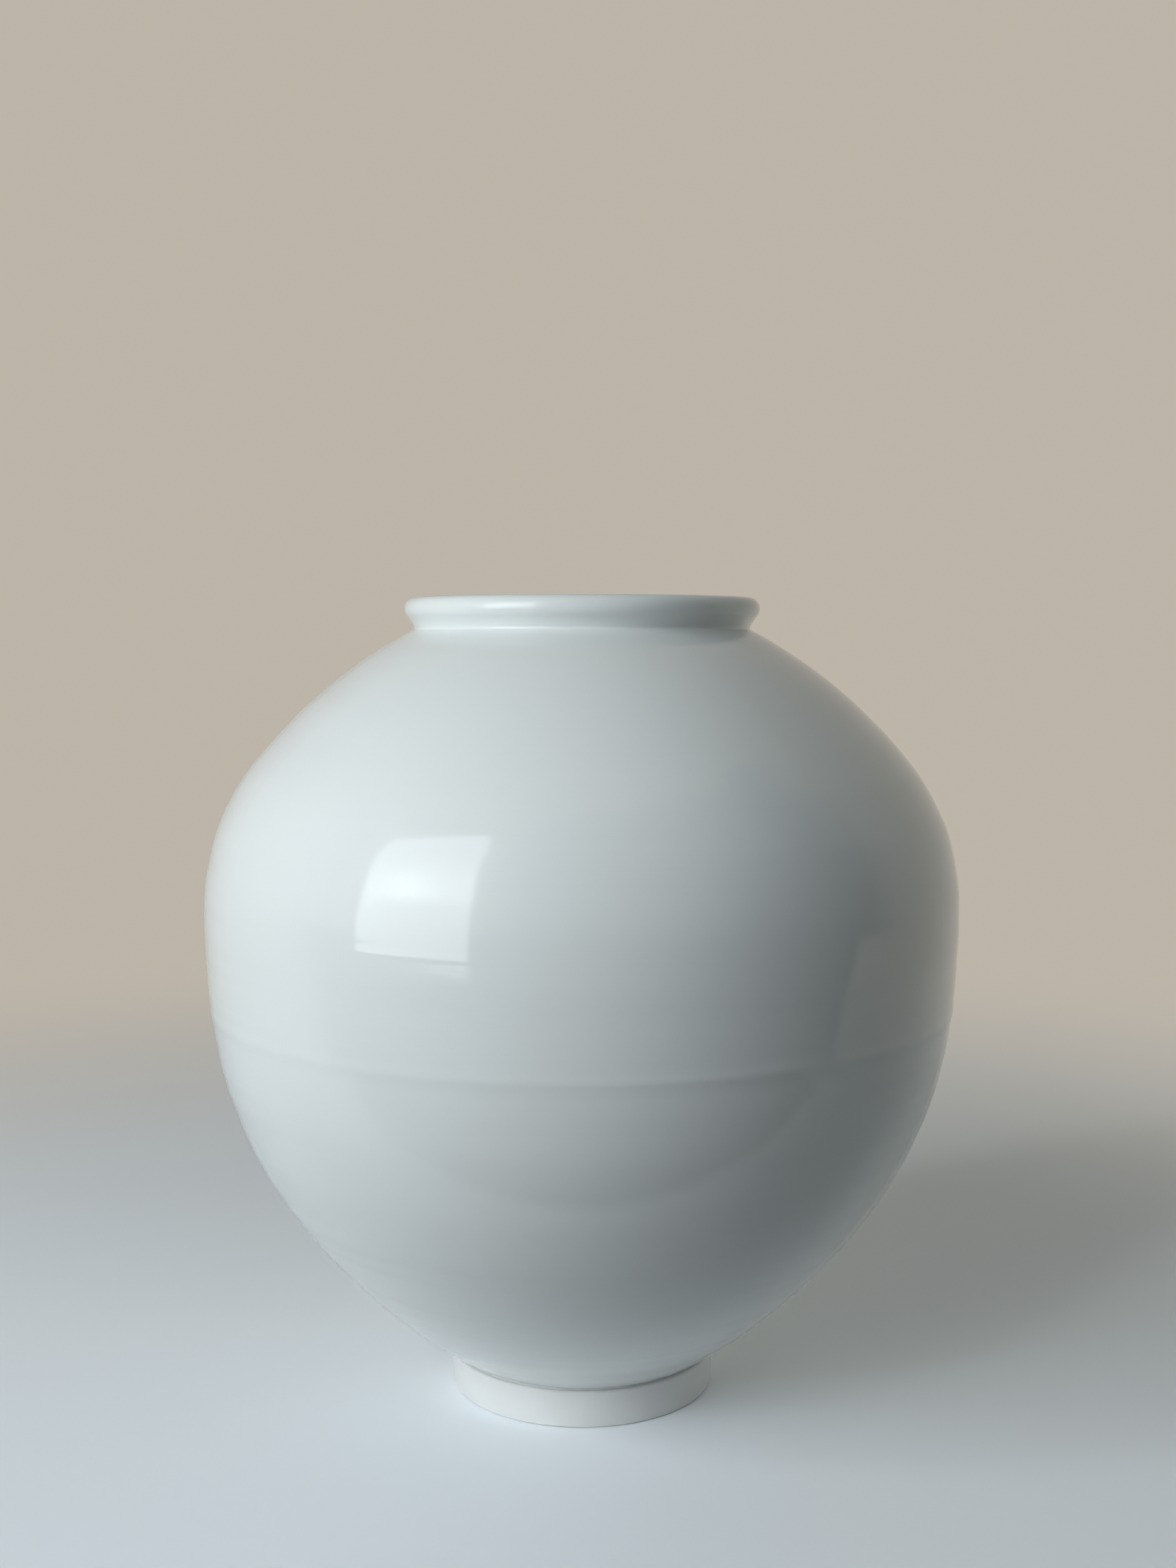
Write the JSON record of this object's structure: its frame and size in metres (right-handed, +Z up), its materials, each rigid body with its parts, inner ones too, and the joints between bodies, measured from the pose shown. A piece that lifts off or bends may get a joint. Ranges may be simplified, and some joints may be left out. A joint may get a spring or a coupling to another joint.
{
  "type": "korean moon jar",
  "caption": "Tall round porcelain jar, widest above its middle, narrowing to a small foot ring, with a short collar and rolled lip.",
  "frame": {"origin": "centre of the circle on which the foot ring stands", "axes": "+Z up along the axis of the jar; the jar is round about it, so X and Y are free, and the picture looks along +Y"},
  "size_m": [0.4131, 0.4132, 0.4397],
  "materials": {
    "glazed_porcelain": "white porcelain under a clear, faintly blue-grey glaze, glossy",
    "bare_porcelain": "white porcelain left bare, fine and matte, a little warmer than the glaze",
    "slip": "liquid porcelain clay that joins two pieces, fired"
  },
  "bodies": {
    "root": {"lower_bowl": "glazed_porcelain", "upper_bowl": "glazed_porcelain", "mouth_collar": "glazed_porcelain", "seam_coil": "glazed_porcelain", "foot_ring": "bare_porcelain", "seam_slip": "glazed_porcelain", "collar_slip": "glazed_porcelain", "foot_slip": "slip"}
  },
  "joints": []
}
